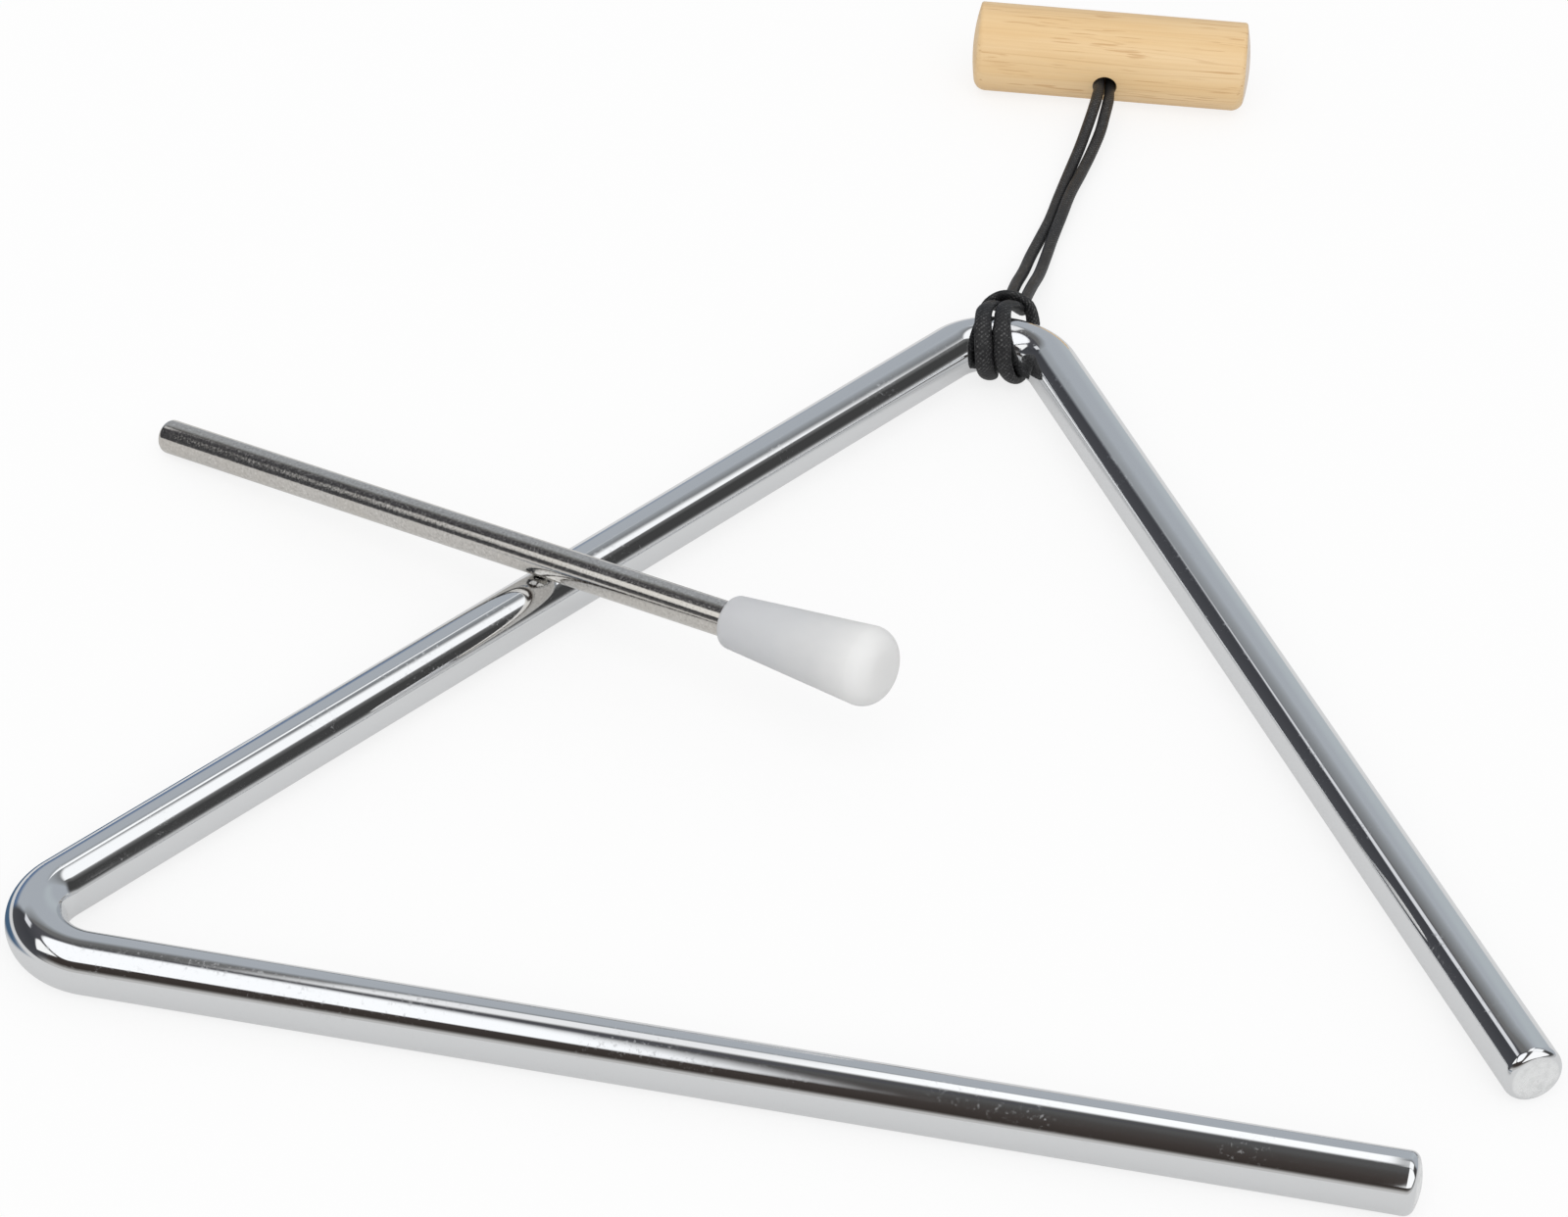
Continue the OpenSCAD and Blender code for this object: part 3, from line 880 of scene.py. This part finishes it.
def tip_material():
    material, tree, shader = new_material("milky_plastic")
    spot = local_place(tree, place(TIP_START), BEATER_WAY)
    # Painted light: the colour grows lighter from the seat towards the striking end
    share = maths(tree, "DIVIDE", split_xyz(tree, spot)[0], TIP_L, clamp=True)
    clouds = times(tree, maths(tree, "SUBTRACT", noise(tree, spot, 0.22, 2.0), 0.5), 0.25)
    feed(tree, shader.inputs["Base Color"], ramp(tree, maths(tree, "ADD", share, clouds), PLASTIC_AND_PAINTED_LIGHT))
    feed(tree, shader.inputs["Roughness"],
         remap(tree, noise(tree, spot, 0.7, 2.0), 0.35, 0.7, 0.42, 0.54))
    shader.inputs["Subsurface Weight"].default_value = 0.8
    shader.inputs["Subsurface Radius"].default_value = (1.0, 1.0, 1.0)
    shader.inputs["Subsurface Scale"].default_value = 0.005
    feed(tree, shader.inputs["Normal"], bump(tree, noise(tree, spot, 6.0, 2.0), 0.00003, 0.25))
    return material


# Colours of the wood's broad bands, of the lines, rings and pores over them, and of its cut end
WOOD = ((0.3, (0.82, 0.56, 0.28)), (0.5, (0.85, 0.605, 0.325)), (0.7, (0.87, 0.635, 0.36)))
WOOD_LINE = (0.74, 0.49, 0.245)
WOOD_RING = (0.6, 0.35, 0.145)
WOOD_PORE = (0.6, 0.34, 0.14)
END_PALE = (0.83, 0.71, 0.59)
END_DULL = (0.74, 0.61, 0.48)


def wood_material():
    material, tree, shader = new_material("pale_wood")
    middle = place((HANDLE_AT.x, HANDLE_AT.y, HANDLE_R))

    def grain(stretch, detail=2.0, seed=0.0):
        shifted = add_node(tree, "ShaderNodeVectorMath", operation="ADD")
        feed(tree, shifted.inputs[0], local_place(tree, middle, HANDLE_WAY, stretch))
        shifted.inputs[1].default_value = (seed, seed, seed)
        return noise(tree, shifted.outputs[0], 1.0, detail)

    colour = ramp(tree, grain((0.03, 0.4, 0.4), 3.0), WOOD)
    lines = remap(tree, grain((0.02, 2.6, 2.6), 2.0, 7.0), 0.35, 0.7)
    colour = mix_colour(tree, times(tree, lines, 0.22), colour, WOOD_LINE)
    level = maths(tree, "SUBTRACT", grain((0.013, 0.42, 0.42), 1.0, 3.0), 0.52)
    rings = remap(tree, maths(tree, "ABSOLUTE", level), 0.012, 0.002)
    colour = mix_colour(tree, times(tree, rings, 0.3), colour, WOOD_RING)
    pores = remap(tree, grain((0.14, 2.6, 2.6), 1.0, 11.0), 0.6, 0.68)
    clusters = remap(tree, grain((0.06, 0.3, 0.3), 1.0, 5.0), 0.44, 0.55)
    dashes = times(tree, pores, clusters, 0.62)
    colour = mix_colour(tree, dashes, colour, WOOD_PORE)

    # The right end's grain is cut across, and paler
    dots = remap(tree, grain((0.3, 3.0, 3.0), 2.0, 2.0), 0.4, 0.75)
    end_share = remap(tree, facing(tree, HANDLE_WAY), 0.8, 0.96)
    colour = mix_colour(tree, end_share, colour, mix_colour(tree, dots, END_PALE, END_DULL))
    feed(tree, shader.inputs["Base Color"], colour)
    feed(tree, shader.inputs["Roughness"], remap(tree, lines, 0.0, 1.0, 0.42, 0.52))
    relief = maths(tree, "SUBTRACT", lines, dashes)
    feed(tree, shader.inputs["Normal"], bump(tree, relief, 0.00004, 0.35))
    return material


def cord_material(name, low, high, glint_grey, amount):
    """Waxed braid: its grey on the strands, darker in the gaps as painted shade, and pale specks on the
    crowns as painted highlights.
    """
    material, tree, shader = new_material(name)
    coords = object_place(tree)
    crown = add_node(tree, "ShaderNodeAttribute", attribute_name="braid").outputs["Fac"]
    # Painted shade: the gaps between the strands are darker than their crowns
    colour = mix_colour(tree, remap(tree, crown, 0.5, 1.0), low, high)
    grains = remap(tree, noise(tree, coords, 2600.0, 2.0, 0.6), 0.44, 0.62)
    patches = remap(tree, noise(tree, coords, 260.0, 2.0), 0.3, 0.6)
    # Painted highlights: pale specks on the strands' crowns, where the braid stands highest
    painted_glints = times(tree, grains, patches, remap(tree, crown, 0.6, 0.95), amount)
    feed(tree, shader.inputs["Base Color"], mix_colour(tree, painted_glints, colour, glint_grey))
    feed(tree, shader.inputs["Roughness"], remap(tree, crown, 0.4, 1.0, 0.6, 0.45))
    feed(tree, shader.inputs["Normal"], bump(tree, noise(tree, coords, 4200.0, 2.0), 0.00005, 0.5))
    return material


def dress(obj, material):
    if obj.data.materials:
        for i in range(len(obj.data.materials)):
            obj.data.materials[i] = material
    else:
        obj.data.materials.append(material)


dress(rod, chrome_material())
dress(beater, nickel_material())
dress(tip, tip_material())
loose_braid = cord_material("waxed_braid", (0.012, 0.012, 0.013), (0.024, 0.024, 0.025),
                            (0.13, 0.13, 0.13), 0.6)
# The hitch gets a darker copy of the same braid with more pale specks: painted shade and painted
# highlights
shaded_hitch_braid = cord_material("shaded_braid", (0.005, 0.005, 0.006), (0.011, 0.011, 0.012),
                            (0.11, 0.11, 0.11), 0.85)
for cord_piece in cords:
    dress(cord_piece, shaded_hitch_braid if cord_piece is hitch else loose_braid)
dress(handle, wood_material())

# The studio: one soft sun, a plain world, and what the polished rod mirrors
scene = bpy.context.scene
scene.view_settings.view_transform = "Standard"

SUN_TURN = (46.0, 8.0, 0.0)
SUN_SPREAD = 60.0
SUN_STRENGTH = 1.05
PLAIN_WORLD = 0.7

sun = bpy.data.objects.new("sun", bpy.data.lights.new("sun", "SUN"))
scene.collection.objects.link(sun)
sun.data.energy = SUN_STRENGTH
sun.data.angle = math.radians(SUN_SPREAD)
sun.rotation_euler = Euler([math.radians(a) for a in SUN_TURN])
sun.visible_glossy = False

# What the rod mirrors. The far wall darkens towards the ceiling, by distance on the ceiling plane
# over its height; the other walls go by height in degrees.
FAR_WALL = ((0.0, grey(0.1)), (0.3, grey(0.12)), (0.45, grey(0.17)), (0.62, grey(0.18)),
            (0.68, (0.24, 0.25, 0.26)), (0.85, (0.36, 0.38, 0.4)), (1.0, (0.46, 0.49, 0.53)))
RIGHT_WALL = ((-90, grey(0.6)), (5, grey(0.58)), (8, grey(0.35)), (11, grey(0.12)),
              (16, grey(0.06)), (36, grey(0.06)), (40, grey(0.11)), (44, grey(0.15)),
              (47, grey(0.35)), (52, grey(0.12)))
LEFT_WALL = ((-90, grey(0.6)), (-1, grey(0.5)), (2, (0.08, 0.082, 0.09)), (30, (0.06, 0.062, 0.07)),
             (50, (0.09, 0.09, 0.1)))
NEAR_WALL = ((-90, grey(0.6)), (6, (0.58, 0.57, 0.56)), (12, (0.2, 0.19, 0.18)),
             (17, (0.046, 0.038, 0.034)), (40, (0.06, 0.05, 0.046)), (65, (0.076, 0.07, 0.067)),
             (80, grey(0.1)))
# Where each wall takes over from the far one, in degrees to the right of +Y, the near wall on both
# sides
RIGHT_FROM = (56.0, 68.0)
LEFT_FROM = (-54.0, -62.0)
NEAR_FROM = (115.0, 140.0)
# The far wall's low part is brighter round BRIGHT_AIM, and something blue stands at its left
LOW_FROM = (0.95, 1.15)
LOW_FAR = (0.46, 0.49, 0.53)
BRIGHT_FAR = (0.51, 0.555, 0.585)
BRIGHT_AIM = 14.0
BRIGHT_SPREAD = 16.0
BLUE_LOW = (0.13, 0.2, 0.33)
BLUE_SIDE = (-17.0, -28.0)
BLUE_HEIGHT = (18.0, 6.0)

# The bright panels lie on the ceiling plane, and their places are shares of its height, to the right
# and away. A pair is one soft edge, and a third value is the softness of a range's two edges. The
# panels fade out between the two values of PANEL_SLOPE, and the plane ends at LOWEST_SLOPE.
LOWEST_SLOPE = 0.03
PANEL_SLOPE = (0.05, 0.12)
# Near left, over the camera's shoulder: an oval, by its middle and half its width each way
OVAL_RIGHT = (-0.56, 0.41)
OVAL_AWAY = (-0.54, 0.7)
OVAL_POWER = 3.0
OVAL_EDGE = (1.3, 0.75)
OVAL_LIGHT = (1.21, 1.22, 1.24)
# Far middle: its far edge slants, and its left side is dimmer
MIDDLE_RIGHT = (-0.235, 0.04, 0.02)
MIDDLE_NEAR_EDGE = (0.1, 0.3)
MIDDLE_FAR_EDGE = (0.95, 0.83)
MIDDLE_SLANT = 0.9
MIDDLE_DIM_EDGE = (-0.15, -0.1)
MIDDLE_DIM = (1.0, 1.0, 1.01)
MIDDLE_LIGHT = (1.24, 1.25, 1.26)
# Far right, long
LONG_RIGHT = (0.06, 0.85, 0.03)
LONG_NEAR_EDGE = (0.07, 0.13)
LONG_FAR_EDGE = (0.69, 0.55)
LONG_LIGHT = (1.17, 1.18, 1.19)
# Far left, turned by an angle with this cosine and sine
TURNED_BY = (0.8, 0.6)
TURNED_ACROSS = (-0.8, -0.48, 0.04)
TURNED_ALONG = (0.98, 1.36, 0.05)
TURNED_LIGHT = (0.83, 0.84, 0.87)
# Near left beyond the oval, with one slanting edge
WEDGE_SLANT = 1.25
WEDGE_SLANT_EDGE = (-1.2, -1.06)
WEDGE_RIGHT_EDGE = (-1.04, -1.12)
WEDGE_AWAY = (-1.15, -0.13, 0.07)
WEDGE_LIGHT = (1.15, 1.15, 1.14)
# Near right, the largest
LARGE_RIGHT = (0.14, 3.4, 0.04)
LARGE_AWAY = (-2.4, 0.08, 0.05)
LARGE_LIGHT = grey(1.2)


def between(tree, value, low, high, soft):
    """1 inside a range and 0 outside it, with two soft edges."""
    return times(tree, remap(tree, value, low - soft, low + soft),
                 remap(tree, value, high + soft, high - soft))


def mirrored_walls(tree, x, y, z, away):
    height = maths(tree, "DEGREES", maths(tree, "ARCSINE", z))
    side = maths(tree, "DEGREES", maths(tree, "ARCTAN2", x, y))

    def wall(rows):
        share = maths(tree, "DIVIDE", maths(tree, "ADD", height, 90.0), 180.0)
        return ramp(tree, share, [((degrees + 90) / 180, colour) for degrees, colour in rows])

    aim = maths(tree, "ABSOLUTE", maths(tree, "SUBTRACT", side, BRIGHT_AIM))
    low = mix_colour(tree, remap(tree, aim, BRIGHT_SPREAD, 0.0), LOW_FAR, BRIGHT_FAR)
    colour = mix_colour(tree, remap(tree, away, *LOW_FROM), ramp(tree, away, FAR_WALL), low)
    blue = times(tree, remap(tree, side, *BLUE_SIDE), remap(tree, height, *BLUE_HEIGHT))
    colour = mix_colour(tree, blue, colour, BLUE_LOW)
    colour = mix_colour(tree, remap(tree, side, *RIGHT_FROM), colour, wall(RIGHT_WALL))
    colour = mix_colour(tree, remap(tree, side, *LEFT_FROM), colour, wall(LEFT_WALL))
    behind = remap(tree, maths(tree, "ABSOLUTE", side), *NEAR_FROM)
    return mix_colour(tree, behind, colour, wall(NEAR_WALL))


def mirrored_panels(tree, right, away):
    """Each panel's share and its light."""
    def offset(value, middle, half):
        share = maths(tree, "DIVIDE", maths(tree, "SUBTRACT", value, middle), half)
        return maths(tree, "POWER", maths(tree, "ABSOLUTE", share), OVAL_POWER)

    oval = maths(tree, "ADD", offset(right, *OVAL_RIGHT), offset(away, *OVAL_AWAY))
    yield remap(tree, oval, *OVAL_EDGE), OVAL_LIGHT

    slant = maths(tree, "SUBTRACT", away, times(tree, right, MIDDLE_SLANT))
    yield (times(tree, between(tree, right, *MIDDLE_RIGHT), remap(tree, away, *MIDDLE_NEAR_EDGE),
                 remap(tree, slant, *MIDDLE_FAR_EDGE)),
           mix_colour(tree, remap(tree, right, *MIDDLE_DIM_EDGE), MIDDLE_DIM, MIDDLE_LIGHT))

    yield (times(tree, between(tree, right, *LONG_RIGHT), remap(tree, away, *LONG_NEAR_EDGE),
                 remap(tree, away, *LONG_FAR_EDGE)), LONG_LIGHT)

    cosine, sine = TURNED_BY
    across = maths(tree, "ADD", times(tree, right, cosine), times(tree, away, sine))
    along = maths(tree, "SUBTRACT", times(tree, away, cosine), times(tree, right, sine))
    yield (times(tree, between(tree, across, *TURNED_ACROSS), between(tree, along, *TURNED_ALONG)),
           TURNED_LIGHT)

    edge = maths(tree, "SUBTRACT", right, times(tree, away, WEDGE_SLANT))
    yield (times(tree, remap(tree, edge, *WEDGE_SLANT_EDGE), remap(tree, right, *WEDGE_RIGHT_EDGE),
                 between(tree, away, *WEDGE_AWAY)), WEDGE_LIGHT)

    yield (times(tree, between(tree, right, *LARGE_RIGHT), between(tree, away, *LARGE_AWAY)),
           LARGE_LIGHT)


def studio_world():
    world = bpy.data.worlds.new("studio")
    scene.world = world
    world.use_nodes = True
    tree = world.node_tree
    x, y, z = split_xyz(tree, add_node(tree, "ShaderNodeTexCoord").outputs["Generated"])
    up = maths(tree, "MAXIMUM", z, LOWEST_SLOPE)
    right, away = maths(tree, "DIVIDE", x, up), maths(tree, "DIVIDE", y, up)
    colour = mirrored_walls(tree, x, y, z, away)
    above = remap(tree, z, *PANEL_SLOPE)
    for share, light in mirrored_panels(tree, right, away):
        colour = mix_colour(tree, times(tree, share, above), colour, light)

    # Plain light for what isn't mirrored, and white behind the object
    rays = add_node(tree, "ShaderNodeLightPath").outputs
    seen = maths(tree, "MAXIMUM", rays["Is Camera Ray"], rays["Is Transmission Ray"])
    colour = mix_colour(tree, rays["Is Diffuse Ray"], colour, grey(PLAIN_WORLD))
    feed(tree, tree.nodes["Background"].inputs["Color"], mix_colour(tree, seen, colour, grey(1.0)))


studio_world()

# The pale floor: white to the camera apart from a soft shadow, and grey in the polished rod.
# FLOOR_R is half its side in metres, and the shares say how much of it glows by itself for a ray.
FLOOR_R = 4.0
FLOOR_GREY = 0.55
CAMERA_SHARE = 0.6
GLOSSY_SHARE = 0.3
DIFFUSE_SHARE = 0.3
# The left limb mirrors something blue on the floor beside it: its soft edges along the limb, and
# outwards from it
BLUE = (0.07, 0.13, 0.215)
BLUE_ALONG = ((-25.0, 0.0), (70.0, 52.0))
BLUE_OUT = ((2.0, 8.0), (34.0, 20.0))


def floor_material():
    material, tree, shader = new_material("pale_floor")
    rays = add_node(tree, "ShaderNodeLightPath").outputs
    along, out = split_xyz(tree, local_place(tree, place((0, 0, 0)), LEFT_WAY.to_3d()))[:2]
    reach = times(tree, *(remap(tree, along, *edge) for edge in BLUE_ALONG))
    width = times(tree, *(remap(tree, out, *edge) for edge in BLUE_OUT))
    blue = times(tree, reach, width, rays["Is Glossy Ray"])
    feed(tree, shader.inputs["Base Color"], mix_colour(tree, blue, grey(FLOOR_GREY), BLUE))
    shader.inputs["Roughness"].default_value = 1.0
    shader.inputs["Specular IOR Level"].default_value = 0.0
    glow = add_node(tree, "ShaderNodeEmission")
    glow.inputs["Strength"].default_value = (1 - FLOOR_GREY * (1 - CAMERA_SHARE)) / CAMERA_SHARE
    feed(tree, glow.inputs["Color"], mix_colour(tree, blue, grey(1.0), BLUE))

    seen = maths(tree, "MAXIMUM", rays["Is Camera Ray"], rays["Is Transmission Ray"])
    share = maths(tree, "ADD", times(tree, seen, CAMERA_SHARE),
                  times(tree, rays["Is Glossy Ray"], GLOSSY_SHARE))
    share = maths(tree, "ADD", share, times(tree, rays["Is Diffuse Ray"], DIFFUSE_SHARE))
    mixer = add_node(tree, "ShaderNodeMixShader")
    for socket, value in zip(mixer.inputs, (share, shader.outputs[0], glow.outputs[0])):
        feed(tree, socket, value)
    feed(tree, tree.nodes["Material Output"].inputs["Surface"], mixer.outputs[0])
    return material


floor_mesh = bpy.data.meshes.new("floor")
floor_corners = ((-FLOOR_R, -FLOOR_R, 0), (FLOOR_R, -FLOOR_R, 0), (FLOOR_R, FLOOR_R, 0),
                 (-FLOOR_R, FLOOR_R, 0))
floor_mesh.from_pydata(floor_corners, [], [(0, 1, 2, 3)])
floor = add_object("floor", floor_mesh)
dress(floor, floor_material())
